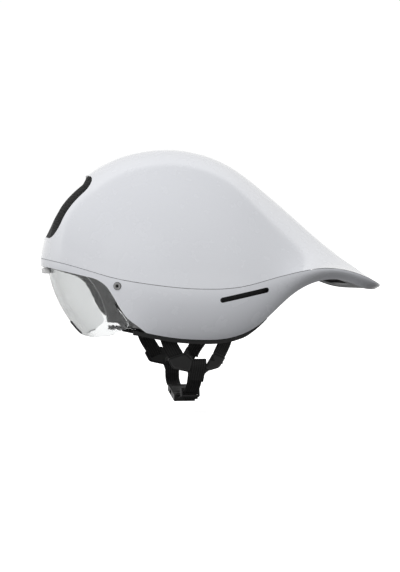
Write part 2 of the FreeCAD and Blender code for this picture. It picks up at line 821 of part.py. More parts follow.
def pivot_bush(name, side):
    label = f"pivot_bush_{name}"
    tube = cylinder(label + "_tube", "bush_diameter", "dims.bush_length")
    hole = cylinder(label + "_hole", "screw_shank_diameter", "dims.bush_length + 2", Vector(0, 0, -1))
    hole.setExpression("Radius", "dims.screw_shank_diameter / 2 + 0.1")
    return finish_part(difference(label, tube, hole), temple_placement(side, 7.0))


def pivot_nut(name, side):
    label = f"pivot_nut_{name}"
    disc = cylinder(label + "_disc", "nut_diameter", "dims.nut_length")
    hole = cylinder(label + "_hole", "screw_shank_diameter", "dims.nut_length + 2", Vector(0, 0, -1))
    hole.setExpression("Radius", "dims.screw_shank_diameter / 2 + 0.1")
    return finish_part(difference(label, disc, hole), temple_placement(side, 10.3))


# ---- straps ---------------------------------------------------------------------------------

def ribbon(stations, width=None):
    """Flat strap through (centre, width direction) stations, of the webbing's width and thickness."""
    half_width = (width or size("webbing_width")) / 2
    half_thick = size("webbing_thickness") / 2
    centres = [c for c, _ in stations]
    corners = []
    for i, (centre, across) in enumerate(stations):
        ahead = centres[min(i + 1, len(centres) - 1)] - centres[max(i - 1, 0)]
        wide = (across - ahead * (across.dot(ahead) / ahead.dot(ahead))).normalize()
        thick = ahead.cross(wide).normalize()
        corners.append([centre + wide * (half_width * a) + thick * (half_thick * b)
                        for a, b in ((-1, -1), (1, -1), (1, 1), (-1, 1))])
    edges = []
    for k in range(4):
        curve = Part.BSplineCurve()
        curve.interpolate([c[k] for c in corners])
        edges.append(curve.toShape())
    faces = [Part.makeRuledSurface(a, b) for a, b in zip(edges, edges[1:] + edges[:1])]
    faces += [Part.Face(Part.makePolygon(c + c[:1])) for c in (corners[0], corners[-1])]
    return closed_solid(faces)


def strap_path(points, side, across):
    return [(Vector(x, y * side, z), Vector(across[0], across[1] * side, across[2])) for x, y, z in points]


def front_strap(side):
    points = ((-18, 76.6, 2), (-13, 77.3, -18), (-8, 77.2, -38), (3, 71.0, -60))
    return ribbon(strap_path(points, side, (1, 0, 0.35)))


def rear_strap(side):
    points = ((57, 63.5, -2), (54.5, 65.3, -20), (51.5, 67.1, -36), (40, 71.0, -60))
    return ribbon(strap_path(points, side, (1, -0.54, -0.3)))


def chin_points(side):
    """Centre line of a chin strap from its divider to the buckle's bar."""
    end = buckle_point(14.2) if side < 0 else buckle_point(-31.5)
    rows = ((20, 70.0, -64.0), (19, 68.2, -78.0), (18.5, 58.0, -85.4))
    return [Vector(x, y * side, z) for x, y, z in rows] + [end]


def chin_strap(side):
    return ribbon([(p, Vector(1, 0, 0)) for p in chin_points(side)])


def chin_frame(y, below):
    """Point under the left chin strap at a given y, and the strap's direction there."""
    curve = Part.BSplineCurve()
    curve.interpolate(chin_points(-1))
    nearest = curve.parameter(Vector(18.5, y, -84.0 - (y + 58.0) * 0.31))
    ahead = curve.tangent(nearest)[0]
    down = Vector(0, ahead.z, -ahead.y)
    return curve.value(nearest) + down * (below if down.z < 0 else -below), ahead


def strap_tail():
    held = [chin_frame(y, 2.0)[0] for y in (-52.0, -44.0)]
    return ribbon([(p, Vector(1, 0, 0)) for p in held + [Vector(21.5, -35.0, -97.5)]])


def strap_rivets(end, x, y, z, turn):
    """Pair of round rivets that pin the tops of the left and right straps to the liner."""
    discs = []
    for name, side in SIDES:
        spin = Rotation(Vector(0, 0, 1), Vector(math.sin(turn), side * math.cos(turn), 0))
        discs.append(cylinder(f"{end}_rivet_{name}", "rivet_diameter", "dims.rivet_length",
                              Vector(x, side * y, z), spin))
    return finish_part(union(f"{end}_strap_rivets", discs), Placement())


def divider(name, side):
    """Butterfly divider: two wings that hold the straps and a body that the chin webbing leaves."""
    label = f"strap_divider_{name}"
    solids = []
    for k, (x, z, turn) in enumerate(((-17.0, 1.5, -16.0), (19.0, 1.0, 21.0))):
        spin = Rotation(Vector(0, 1, 0), turn)
        wing = block(f"{label}_wing{k}", "dims.wing_length", "dims.divider_thickness", "dims.wing_height",
                     Vector(x, 0, z), spin)
        slot = block(f"{label}_wing_slot{k}", "dims.webbing_width - 1", "dims.divider_thickness * 2",
                     "dims.strap_slot_width", Vector(x, 0, z), spin)
        solids.append(difference(f"{label}_side{k}", wing, slot))
    solids.append(block(f"{label}_body", "dims.divider_body_width", "dims.divider_thickness",
                        "dims.divider_body_height", Vector(-1.0, 0, -6.0)))
    made = union(label, solids)
    tilt = Rotation(Vector(1, 0, 0), -6.0 * side)
    return finish_part(made, Placement(Vector(21, side * 76.2, -60.5), tilt))


def buckle_placement():
    tilt = Rotation(Vector(1, 0, 0), BUCKLE_TILT)
    return Placement(BUCKLE_MOUTH, tilt.multiply(Rotation(Vector(0, 0, 1), -90)))


def buckle_point(x, z=0.0):
    return buckle_placement().multVec(Vector(x, 0, z))


def buckle_socket():
    """Local +X points out of the socket's mouth, which is at the local origin."""
    case = block("socket_case", "dims.socket_length", "dims.buckle_width", "dims.buckle_thickness",
                 Vector(-size("socket_length") / 2, 0, 0))
    cavity = block("socket_cavity", "dims.socket_cavity_length * 2", "dims.socket_cavity_width",
                   "dims.socket_cavity_height")
    windows = block("socket_windows", "10", "dims.buckle_width + 4", "dims.socket_cavity_height",
                    Vector(-12.0, 0, 0))
    bar = block("socket_strap_slot", "dims.strap_slot_width", "dims.webbing_width + 1",
                "dims.buckle_thickness + 2", Vector(-26.0, 0, 0))
    made = difference("buckle_socket", case, union("socket_voids", [cavity, windows, bar]))
    return finish_part(made, buckle_placement())


def buckle_plug():
    start = 0.4
    base = block("plug_base", "dims.plug_base_length", "dims.buckle_width", "dims.buckle_thickness",
                 Vector(start + size("plug_base_length") / 2, 0, 0))
    slot = block("plug_strap_slot", "dims.strap_slot_width", "dims.webbing_width + 1",
                 "dims.buckle_thickness + 2", Vector(8.2, 0, 0))
    solids = [difference("plug_bar", base, slot)]
    middle = Vector(start + 0.5 - size("prong_length") / 2, 0, 0)
    solids.append(block("plug_prong", "dims.prong_length + 1", "dims.prong_width",
                        "dims.prong_thickness", middle))
    for name, side in SIDES:
        solids.append(block(f"plug_arm_{name}", "dims.prong_length + 1", "dims.arm_width",
                            "dims.prong_thickness", middle + Vector(0, 7.2 * side, 0)))
    return finish_part(union("buckle_plug", solids), buckle_placement())


def strap_keeper():
    """Rubber loop that holds the loose webbing end against the chin strap."""
    wall = "dims.keeper_wall"
    outer = block("keeper_outer", "dims.keeper_length", f"dims.webbing_width + 2 * {wall} + 0.8",
                  f"dims.webbing_thickness * 2 + 2 * {wall} + 3")
    inner = block("keeper_inner", "dims.keeper_length + 2", "dims.webbing_width + 0.8",
                  "dims.webbing_thickness * 2 + 3")
    centre, ahead = chin_frame(-47.5, 1.0)
    hold = Rotation(ahead, Vector(1, 0, 0), Vector(), "XYZ")
    return finish_part(difference("strap_keeper", outer, inner), Placement(centre, hold))


# ---- assembly -------------------------------------------------------------------------------

add_shape("upper_shell", upper_shell())
add_shape("lower_shell", lower_shell())
add_shape("visor_lens", visor_lens())
add_shape("visor_thumb_pad", thumb_pad())
add_shape("brow_clip", brow_clip())
whole_liner = liner()
add_shape("eps_liner", max(whole_liner.cut(liner_block(0.0)).Solids, key=lambda s: s.Volume))
add_shape("intake_ring", intake_ring())
add_shape("intake_mesh", intake_mesh())
add_shape("top_vent_mesh", top_vent_mesh())
add_shape("tail_panel", tail_panel())
add_shape("exhaust_mesh", exhaust_mesh())
add_shape("rear_hanger", hanger())
add_shape("fit_carriage", carriage())
add_shape("fit_cradle", cradle())
add_shape("cradle_pad", cradle_pad())
for pad_name, (low, high) in PADS.items():
    add_shape(pad_name, pad_layer().common(box(low, high)))
for name, side in SIDES:
    add_shape(f"liner_side_{name}", liner_side(whole_liner, side))
    add_shape(f"edge_trim_{name}", edge_trim(side))
    add_shape(f"side_vent_tray_{name}", side_vent_tray(side))
    add_shape(f"fit_arm_{name}", fit_arm(side))
    add_shape(f"fit_lace_{name}", lace(side))
    add_shape(f"front_strap_{name}", front_strap(side))
    add_shape(f"rear_strap_{name}", rear_strap(side))
    add_shape(f"chin_strap_{name}", chin_strap(side))
    pivot_screw(name, side)
    pivot_bush(name, side)
    pivot_nut(name, side)
    divider(name, side)
add_shape("strap_tail", strap_tail())
dial_housing()
dial_knob()
lace_spool()
buckle_socket()
buckle_plug()
strap_keeper()
strap_rivets("front", -17.0, 73.2, -3.0, 0.0)
strap_rivets("rear", 54.9, 61.2, -7.0, 0.49)

doc.recompute()
os.makedirs("parts", exist_ok=True)
for item in doc.Objects:
    if {"Invalid", "Error"} & set(item.State):
        raise RuntimeError(f"{item.Label} failed: {item.State}")
for part in parts:
    if part.Shape.isNull() or not part.Shape.isValid():
        raise RuntimeError(f"{part.Label} is not a valid shape")
for part in parts:
    part.Shape.exportStep(f"parts/{part.Label}.step")
print(len(parts), "parts")
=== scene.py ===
"""Looks for the time-trial helmet: materials, webbing, pads, grilles, light and camera. Metres, in the model's frame."""
import json
import math

import bmesh
import bpy
import numpy as np
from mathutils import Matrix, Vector
from mathutils.bvhtree import BVHTree

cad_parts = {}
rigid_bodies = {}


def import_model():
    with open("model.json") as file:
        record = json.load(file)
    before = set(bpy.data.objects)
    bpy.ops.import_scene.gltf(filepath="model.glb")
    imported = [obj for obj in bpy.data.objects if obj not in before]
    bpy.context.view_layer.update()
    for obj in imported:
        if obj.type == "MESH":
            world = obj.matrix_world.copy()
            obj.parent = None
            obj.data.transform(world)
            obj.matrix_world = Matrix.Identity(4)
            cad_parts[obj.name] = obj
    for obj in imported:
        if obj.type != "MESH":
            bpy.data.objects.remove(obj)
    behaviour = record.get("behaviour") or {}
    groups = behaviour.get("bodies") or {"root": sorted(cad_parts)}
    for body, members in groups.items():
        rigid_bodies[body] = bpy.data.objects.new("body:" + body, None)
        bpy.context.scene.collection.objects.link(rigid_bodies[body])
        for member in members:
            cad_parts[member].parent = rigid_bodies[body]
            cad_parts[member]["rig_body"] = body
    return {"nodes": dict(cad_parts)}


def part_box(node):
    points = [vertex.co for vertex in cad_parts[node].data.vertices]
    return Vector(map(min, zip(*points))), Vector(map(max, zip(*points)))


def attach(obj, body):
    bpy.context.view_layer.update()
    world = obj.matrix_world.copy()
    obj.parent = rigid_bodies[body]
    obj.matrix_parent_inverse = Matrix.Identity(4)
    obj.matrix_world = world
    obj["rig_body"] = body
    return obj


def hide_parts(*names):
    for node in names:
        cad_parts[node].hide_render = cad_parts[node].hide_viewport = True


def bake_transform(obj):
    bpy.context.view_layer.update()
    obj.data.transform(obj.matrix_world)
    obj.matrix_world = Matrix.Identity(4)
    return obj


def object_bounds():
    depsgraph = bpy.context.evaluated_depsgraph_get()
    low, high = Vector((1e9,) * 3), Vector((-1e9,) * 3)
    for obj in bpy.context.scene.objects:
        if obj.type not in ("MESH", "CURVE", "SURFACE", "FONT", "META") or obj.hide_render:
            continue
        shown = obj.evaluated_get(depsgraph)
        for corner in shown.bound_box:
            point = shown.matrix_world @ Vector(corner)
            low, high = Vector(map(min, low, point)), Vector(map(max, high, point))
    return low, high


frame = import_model()
nodes = frame["nodes"]
cad_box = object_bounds()
scene = bpy.context.scene

HEAD_AXES = Vector((0.100, 0.080, 0.112))
INTAKE_AXIS = Vector((-0.839, 0, 0.544))
VENT_AXIS = Vector((0.53, 0, 0.848))
WEBBING_WIDTH = 0.015
WEBBING_THICKNESS = 0.0014
BUCKLE_TILT = math.radians(12)
BUCKLE_MOUTH = Vector((0.0185, -0.002, -0.0948))
# Wave texture scales of the weave, over UVs in metres: ribs 2.3 mm apart and picks 1.6 mm apart.
RIB_SCALE = 1000 / 1.15 / 6.283
PICK_SCALE = 1000 / 0.8 / 6.283
# The strap divider's plane: mm out from the middle, mm below the origin, and its lean.
DIVIDER_OUT = 76.2
DIVIDER_DROP = 60.5
DIVIDER_LEAN = math.radians(6)
# The lattice of the grilles.
TRIANGLE_HEIGHT = 0.866
RAY_START = 0.08
GRILLE_DEPTH = 0.0007
CLOTH_FRAMES = 20
# The camera: mm of lens and sensor, metres from its target, and its angles round the helmet.
CAMERA_LENS = 152.0
CAMERA_SENSOR = 36.0
CAMERA_TARGET = Vector((0.037, 0, 0.0176))
CAMERA_DISTANCE = 2.5
CAMERA_AZIMUTH = math.radians(-10)
CAMERA_ELEVATION = math.radians(1)


def points_of(mesh):
    co = np.empty(len(mesh.vertices) * 3)
    mesh.vertices.foreach_get("co", co)
    return co.reshape(-1, 3)


# ---- materials ------------------------------------------------------------------------------

class Graph:
    """A material's node tree, with short names for the nodes used here."""

    def __init__(self, name, roughness=0.5, **sockets):
        self.material = bpy.data.materials.new(name)
        self.material.use_nodes = True
        self.tree = self.material.node_tree
        self.shader = self.tree.nodes["Principled BSDF"]
        self.shader.inputs["Roughness"].default_value = roughness
        for socket, value in sockets.items():
            self.shader.inputs[socket.replace("_", " ")].default_value = value
        self.coords = self.add("ShaderNodeTexCoord").outputs["Object"]
        self.height = None

    def add(self, kind, **settings):
        node = self.tree.nodes.new(kind)
        for key, value in settings.items():
            setattr(node, key, value)
        return node

    def feed(self, socket, value):
        if isinstance(value, bpy.types.NodeSocket):
            self.tree.links.new(value, socket)
        else:
            socket.default_value = value

    def noise(self, scale, detail=3.0):
        node = self.add("ShaderNodeTexNoise")
        self.feed(node.inputs["Vector"], self.coords)
        node.inputs["Scale"].default_value = scale
        node.inputs["Detail"].default_value = detail
        return node.outputs["Fac"]

    def cells(self, scale, output="Distance"):
        node = self.add("ShaderNodeTexVoronoi")
        self.feed(node.inputs["Vector"], self.coords)
        node.inputs["Scale"].default_value = scale
        return node.outputs[output]

    def wave(self, scale, coords=None, direction="X"):
        node = self.add("ShaderNodeTexWave", bands_direction=direction)
        self.feed(node.inputs["Vector"], coords or self.coords)
        node.inputs["Scale"].default_value = scale
        return node.outputs["Fac"]

    def math(self, operation, a, b=0.0):
        node = self.add("ShaderNodeMath", operation=operation)
        self.feed(node.inputs[0], a)
        self.feed(node.inputs[1], b)
        return node.outputs[0]

    def ramp(self, fac, stops):
        node = self.add("ShaderNodeValToRGB")
        self.feed(node.inputs["Fac"], fac)
        elements = node.color_ramp.elements
        while len(elements) < len(stops):
            elements.new(0.5)
        for element, (position, colour) in zip(elements, stops):
            element.position = position
            element.color = (*(colour if hasattr(colour, "__len__") else (colour,) * 3), 1)
        return node.outputs["Color"]

    def colour(self, value):
        self.feed(self.shader.inputs["Base Color"], value)

    def rough(self, fac, low, high):
        self.feed(self.shader.inputs["Roughness"], self.ramp(fac, [(0.25, low), (0.75, high)]))

    def bump(self, height, distance, strength=1.0):
        node = self.add("ShaderNodeBump")
        node.inputs["Strength"].default_value = strength
        node.inputs["Distance"].default_value = distance
        self.feed(node.inputs["Height"], height)
        if self.height:
            self.feed(node.inputs["Normal"], self.height)
        self.height = node.outputs["Normal"]
        self.feed(self.shader.inputs["Normal"], self.height)


def grey(value, tint=0.0):
    return (value * (1 - tint), value, value * (1 + tint))


def shell_paint():
    """Gloss white outside, bare dark plastic on the faces that look in at the head."""
    g = Graph("shell_gloss_white", Coat_Weight=1.0, Coat_Roughness=0.06, IOR=1.5)
    outside = g.ramp(g.noise(9, 2), [(0.3, (0.770, 0.785, 0.828)), (0.7, (0.785, 0.800, 0.840))])
    facing = g.add("ShaderNodeVectorMath", operation="DOT_PRODUCT")
    g.feed(facing.inputs[0], g.coords)
    g.feed(facing.inputs[1], g.coords.node.outputs["Normal"])
    split = g.add("ShaderNodeSeparateXYZ")
    g.feed(split.inputs[0], g.coords)
    inner = g.math("MULTIPLY", g.math("LESS_THAN", facing.outputs["Value"], -0.02),
                   g.math("LESS_THAN", split.outputs["X"], 0.03))
    mix = g.add("ShaderNodeMixRGB")
    mix.inputs["Color2"].default_value = (*grey(0.16), 1)
    g.feed(mix.inputs["Fac"], inner)
    g.feed(mix.inputs["Color1"], outside)
    g.colour(mix.outputs["Color"])
    g.rough(g.noise(60, 4), 0.22, 0.30)
    g.bump(g.noise(700, 1), 0.00003, 0.5)
    return g.material


def moulded(name, value, low, high, grain=900.0, depth=0.00004, tint=0.0, **sockets):
    """Moulded plastic with a spark-eroded grain, faint mottling and handled patches."""
    g = Graph(name, **sockets)
    g.colour(g.ramp(g.noise(45, 4), [(0.3, grey(value * 0.82, tint)), (0.7, grey(value * 1.15, tint))]))
    g.rough(g.noise(130, 3), low, high)
    g.bump(g.noise(grain, 3), depth, 0.8)
    return g.material


def lens_material():
    g = Graph("lens_polycarbonate", Transmission_Weight=1.0, IOR=1.5, Coat_Weight=0.3, Coat_Roughness=0.02)
    g.colour(g.ramp(g.noise(12, 1), [(0.3, (0.72, 0.73, 0.73)), (0.7, (0.75, 0.76, 0.76))]))
    g.rough(g.noise(240, 5), 0.02, 0.06)
    return g.material


def foam_material():
    g = Graph("liner_bead_foam", 0.75)
    bead = g.cells(330, output="Color")
    tone = g.add("ShaderNodeRGBToBW")
    g.feed(tone.inputs[0], bead)
    g.colour(g.ramp(tone.outputs[0], [(0.0, grey(0.20)), (1.0, grey(0.28))]))
    g.rough(g.noise(200, 2), 0.6, 0.85)
    g.bump(g.math("SUBTRACT", 1.0, g.cells(330)), 0.0005, 0.7)
    g.bump(g.noise(1500, 2), 0.00005, 0.5)
    return g.material


def rubber_material(name, value):
    g = Graph(name)
    g.colour(g.ramp(g.noise(70, 4), [(0.3, grey(value * 0.8)), (0.7, grey(value * 1.25))]))
    g.rough(g.noise(160, 4), 0.5, 0.72)
    g.bump(g.noise(1400, 2), 0.00005, 0.7)
    return g.material


def steel_material():
    """Turned steel with painted shade: rings round the screw's own axis, the same on both sides, with a black
    centre painted as the shade in the socket and a dark outer ring painted as the shadow in the gap round the head.
    """
    g = Graph("screw_steel_painted_shade", Metallic=0.9)
    points = points_of(nodes["pivot_screw_right"].data)
    axis = np.linalg.svd(points - points.mean(0), full_matrices=False)[2][0]
    parts = g.add("ShaderNodeSeparateXYZ")
    joined = g.add("ShaderNodeCombineXYZ")
    g.feed(parts.inputs[0], g.coords)
    for k, source in enumerate((parts.outputs[0], g.math("ABSOLUTE", parts.outputs[1]), parts.outputs[2])):
        g.feed(joined.inputs[k], source)
    offset = g.add("ShaderNodeVectorMath", operation="SUBTRACT")
    g.feed(offset.inputs[0], joined.outputs[0])
    offset.inputs[1].default_value = points.mean(0)
    cross = g.add("ShaderNodeVectorMath", operation="CROSS_PRODUCT")
    g.feed(cross.inputs[0], offset.outputs[0])
    cross.inputs[1].default_value = axis
    length = g.add("ShaderNodeVectorMath", operation="LENGTH")
    g.feed(length.inputs[0], cross.outputs[0])
    reach = g.math("MULTIPLY", length.outputs["Value"], 200.0)
    # Painted shade: black near the axis for the shade in the socket, then grey steel, then dark grey further out
    # for the shadow in the gap round the head.
    tones = [(0.25, grey(0.004)), (0.30, grey(0.20)), (0.62, grey(0.42)), (0.74, grey(0.12))]
    g.colour(g.ramp(reach, tones))
    rings = g.math("SINE", g.math("MULTIPLY", length.outputs["Value"], 30000.0))
    g.rough(g.noise(400, 4), 0.26, 0.42)
    g.bump(rings, 0.00001, 0.6)
    return g.material


def webbing_material():
    """Ribbed black polyester: ribs along the strap and picks across it, from the strap's own UVs."""
    g = Graph("webbing_woven", 0.7, Sheen_Weight=0.03, Sheen_Roughness=0.5, Specular_IOR_Level=0.2)
    uv = g.add("ShaderNodeUVMap", uv_map="strap").outputs[0]
    ribs = g.wave(RIB_SCALE, uv, "Y")
    picks = g.wave(PICK_SCALE, uv, "X")
    weave = g.math("MULTIPLY", ribs, g.math("ADD", g.math("MULTIPLY", picks, 0.6), 0.4))
    g.colour(g.ramp(weave, [(0.0, grey(0.006)), (1.0, grey(0.024))]))
    g.rough(g.noise(500, 3), 0.6, 0.8)
    g.bump(weave, 0.00025, 0.8)
    g.bump(g.noise(3500, 2), 0.00004, 0.5)
    return g.material


def knit_material():
    """Wicking knit over foam: rows of small loops."""
    g = Graph("pad_knit", 0.85, Sheen_Weight=0.25, Sheen_Roughness=0.6)
    loops = g.math("MULTIPLY", g.wave(150, direction="X"), g.wave(150, direction="Z"))
    shade = g.math("MULTIPLY", loops, g.noise(80, 3))
    g.colour(g.ramp(shade, [(0.0, grey(0.022, 0.05)), (0.8, grey(0.06, 0.04))]))
    g.rough(g.noise(300, 3), 0.78, 0.95)
    g.bump(loops, 0.00025, 0.8)
    g.bump(g.noise(2200, 3), 0.00006, 0.6)
    return g.material


def lace_material():
    g = Graph("lace_braid", 0.6)
    braid = g.wave(260, direction="DIAGONAL")
    g.colour(g.ramp(braid, [(0.0, grey(0.01)), (1.0, grey(0.045))]))
    g.bump(braid, 0.0001, 0.8)
    return g.material


PAINT = shell_paint()
LENS = lens_material()
FOAM = foam_material()
MESH = moulded("grille_plastic", 0.045, 0.45, 0.6)
PANEL = moulded("tail_satin_grey", 0.22, 0.3, 0.42, tint=0.02)
CLIP = moulded("clip_white", 0.72, 0.3, 0.4)
FIT = moulded("fit_nylon", 0.022, 0.42, 0.6, 700)
BUCKLE = moulded("buckle_acetal", 0.014, 0.32, 0.46, 1100, Specular_IOR_Level=0.4)
TRAY = moulded("tray_black", 0.008, 0.6, 0.8)
RUBBER = rubber_material("rubber_black", 0.012)
KNOB = rubber_material("rubber_knob", 0.02)
STEEL = steel_material()
WEBBING = webbing_material()
KNIT = knit_material()
THREAD = moulded("thread_grey", 0.05, 0.6, 0.8, 2500)
LACE = lace_material()

FINISHES = {
    "upper_shell": PAINT, "lower_shell": PAINT, "intake_ring": PAINT, "brow_clip": CLIP, "visor_lens": LENS,
    "visor_thumb_pad": RUBBER, "eps_liner": FOAM, "liner_side": FOAM, "tail_panel": PANEL,
    "side_vent_tray": TRAY, "edge_trim": RUBBER,
    "rear_hanger": FIT, "fit_carriage": FIT, "fit_cradle": FIT, "fit_arm": FIT, "fit_lace": LACE,
    "dial_housing": FIT, "dial_knob": KNOB, "lace_spool": FIT, "pivot_screw": STEEL, "pivot_bush": FIT,
    "pivot_nut": FIT, "front_strap_rivets": BUCKLE, "rear_strap_rivets": BUCKLE, "strap_divider": BUCKLE,
    "buckle_socket": BUCKLE, "buckle_plug": BUCKLE, "strap_keeper": RUBBER,
}


def finish_cad():
    for name, obj in nodes.items():
        for prefix, material in FINISHES.items():
            if name.startswith(prefix):
                obj.data.materials.clear()
                obj.data.materials.append(material)


# ---- mesh helpers ---------------------------------------------------------------------------

def new_object(name, mesh, material, smooth=True):
    obj = bpy.data.objects.new(name, mesh)
    scene.collection.objects.link(obj)
    mesh.materials.clear()
    mesh.materials.append(material)
    for polygon in mesh.polygons:
        polygon.use_smooth = smooth
    return obj


def apply_modifiers(obj):
    graph = bpy.context.evaluated_depsgraph_get()
    mesh = bpy.data.meshes.new_from_object(obj.evaluated_get(graph))
    obj.modifiers.clear()
    obj.data = mesh


def round_off(obj, voxel, passes):
    """Remesh a piece in voxels and smooth it, which rounds its edges."""
    remesh = obj.modifiers.new("remesh", "REMESH")
    remesh.mode = "VOXEL"
    remesh.voxel_size = voxel
    remesh.use_smooth_shade = True
    smooth = obj.modifiers.new("smooth", "SMOOTH")
    smooth.iterations = passes
    apply_modifiers(obj)


def softened(name, node, material, voxel=0.00045, passes=5):
    """A moulded piece with the CAD solid's shape and rounded edges."""
    obj = new_object(name, nodes[node].data.copy(), material)
    round_off(obj, voxel, passes)
    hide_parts(node)
    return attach(obj, nodes[node]["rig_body"])


def baked(name, mesh):
    """Mesh data with the faces built in mesh, which is freed."""
    data = bpy.data.meshes.new(name)
    mesh.to_mesh(data)
    mesh.free()
    return data


def surface_of(node):
    """BVH tree of a CAD node's mesh."""
    mesh = nodes[node].data
    return BVHTree.FromPolygons([v.co for v in mesh.vertices], [p.vertices for p in mesh.polygons])


def spline(rows, count):
    """Natural cubic curve through rows of numbers, at count even steps of length."""
    p = np.array(rows, float)
    t = np.r_[0, np.cumsum(np.linalg.norm(np.diff(p[:, :3], axis=0), axis=1))]
    h = np.diff(t)[:, None]
    size = len(p)
    system, right = np.eye(size), np.zeros_like(p)
    for i in range(1, size - 1):
        system[i, i - 1:i + 2] = h[i - 1, 0], 2 * (h[i - 1, 0] + h[i, 0]), h[i, 0]
        right[i] = 6 * ((p[i + 1] - p[i]) / h[i] - (p[i] - p[i - 1]) / h[i - 1])
    m = np.linalg.solve(system, right)
    s = np.linspace(0, t[-1], count)
    k = np.clip(np.searchsorted(t, s) - 1, 0, size - 2)
    a, b, step = (t[k + 1] - s)[:, None], (s - t[k])[:, None], h[k]
    return (m[k] * a ** 3 + m[k + 1] * b ** 3) / (6 * step) + (p[k] / step - m[k] * step / 6) * a \
        + (p[k + 1] / step - m[k + 1] * step / 6) * b


# ---- webbing --------------------------------------------------------------------------------

def webbing_line(rows, across):
    """Centres, width directions and face directions along a strap."""
    length = sum((Vector(b) - Vector(a)).length for a, b in zip(rows, rows[1:]))
    centres = [Vector(c) for c in spline(rows, max(12, int(length / 0.0012)))]
    line = []
    for i, centre in enumerate(centres):
        ahead = (centres[min(i + 1, len(centres) - 1)] - centres[max(i - 1, 0)]).normalized()
        wide = (across - ahead * across.dot(ahead)).normalized()
        line.append((centre, ahead, wide, ahead.cross(wide)))
    return line


def webbing_profile():
    """Cross-section round the strap: flat faces, thicker selvages and round edges."""
    half, thick = WEBBING_WIDTH / 2, WEBBING_THICKNESS / 2
    side = []
    for k in range(15):
        w = -1 + 2 * k / 14
        bulge = 1.0 if abs(w) < 0.8 else 1.12
        side.append((w * half * 0.985, thick * bulge * (1.0 if abs(w) < 0.99 else 0.55)))
    return side + [(half, 0.0)] + [(w, -t) for w, t in reversed(side)] + [(-half, 0.0)]


def webbing(name, rows, across, node=None, body="helmet"):
    """A woven strap along rows, of the webbing's own thickness, with its UVs in metres."""
    line, profile = webbing_line(rows, Vector(across)), webbing_profile()
    mesh = bmesh.new()
    uv = mesh.loops.layers.uv.new("strap")
    rings, run, last = [], 0.0, line[0][0]
    for centre, _, wide, thick in line:
        run += (centre - last).length
        last = centre
        rings.append((run, [mesh.verts.new(centre + wide * w + thick * t) for w, t in profile]))
    for (run_a, ring_a), (run_b, ring_b) in zip(rings, rings[1:]):
        for k in range(len(profile)):
            n = (k + 1) % len(profile)
            face = mesh.faces.new((ring_a[k], ring_b[k], ring_b[n], ring_a[n]))
            for loop, u, v in zip(face.loops, (run_a, run_b, run_b, run_a), (k, k, n, n)):
                loop[uv].uv = (u, profile[v][0])
    mesh.faces.new(rings[0][1][::-1])
    mesh.faces.new(rings[-1][1])
    bmesh.ops.recalc_face_normals(mesh, faces=mesh.faces)
    obj = new_object(name, baked(name, mesh), WEBBING)
    if node:
        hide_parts(node)
    if body:
        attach(obj, body)
    return obj, line


def stitch(mesh, start, end, out, radius=0.00032):
    """One thread stitch from start to end, sunk at both ends."""
    along = end - start
    side = along.cross(out).normalized()
    rings = []
    for k in range(5):
        share = k / 4
        lift = math.sin(math.pi * share) * radius * 1.2
        round_up = radius * (0.35 + 0.65 * math.sin(math.pi * min(max(share, 0.12), 0.88)))
        centre = start + along * share + out * lift
        rings.append([mesh.verts.new(centre + side * (math.cos(a) * round_up) + out * (math.sin(a) * round_up))
                      for a in (math.tau * j / 6 for j in range(6))])
    for a, b in zip(rings, rings[1:]):
        for j in range(6):
            mesh.faces.new((a[j], a[(j + 1) % 6], b[(j + 1) % 6], b[j]))
    mesh.faces.new(rings[0][::-1])
    mesh.faces.new(rings[-1])


def box_stitch(name, line, start, count, body="helmet"):
    """A sewn box with a cross in it, on both faces of a strap, over count steps of its line."""
    mesh = bmesh.new()
    half = WEBBING_WIDTH * 0.34

    def spot(share, width, face):
        at = start + share * count
        i = min(int(at), len(line) - 2)
        centre = line[i][0].lerp(line[i + 1][0], at - i)
        return centre + line[i][2] * (width * half) + line[i][3] * (face * WEBBING_THICKNESS * 0.5)

    corners = [(0, -1), (1, -1), (1, 1), (0, 1), (0, -1)]
    runs = list(zip(corners, corners[1:])) + [((0, -1), (1, 1)), ((0, 1), (1, -1))]
    for face in (-1, 1):
        for a, b in runs:
            for k in range(5):
                low, high = (k + 0.15) / 5, (k + 0.85) / 5
                ends = [spot(a[0] + (b[0] - a[0]) * s, a[1] + (b[1] - a[1]) * s, face) for s in (low, high)]
                stitch(mesh, *ends, line[start][3] * face)
    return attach(new_object(name, baked(name, mesh), THREAD), body)


def buckle_point(x):
    return BUCKLE_MOUTH + Vector((0, -x * math.cos(BUCKLE_TILT), -x * math.sin(BUCKLE_TILT)))


def mm(rows, side=1):
    return [(x / 1000, y * side / 1000, z / 1000) for x, y, z in rows]


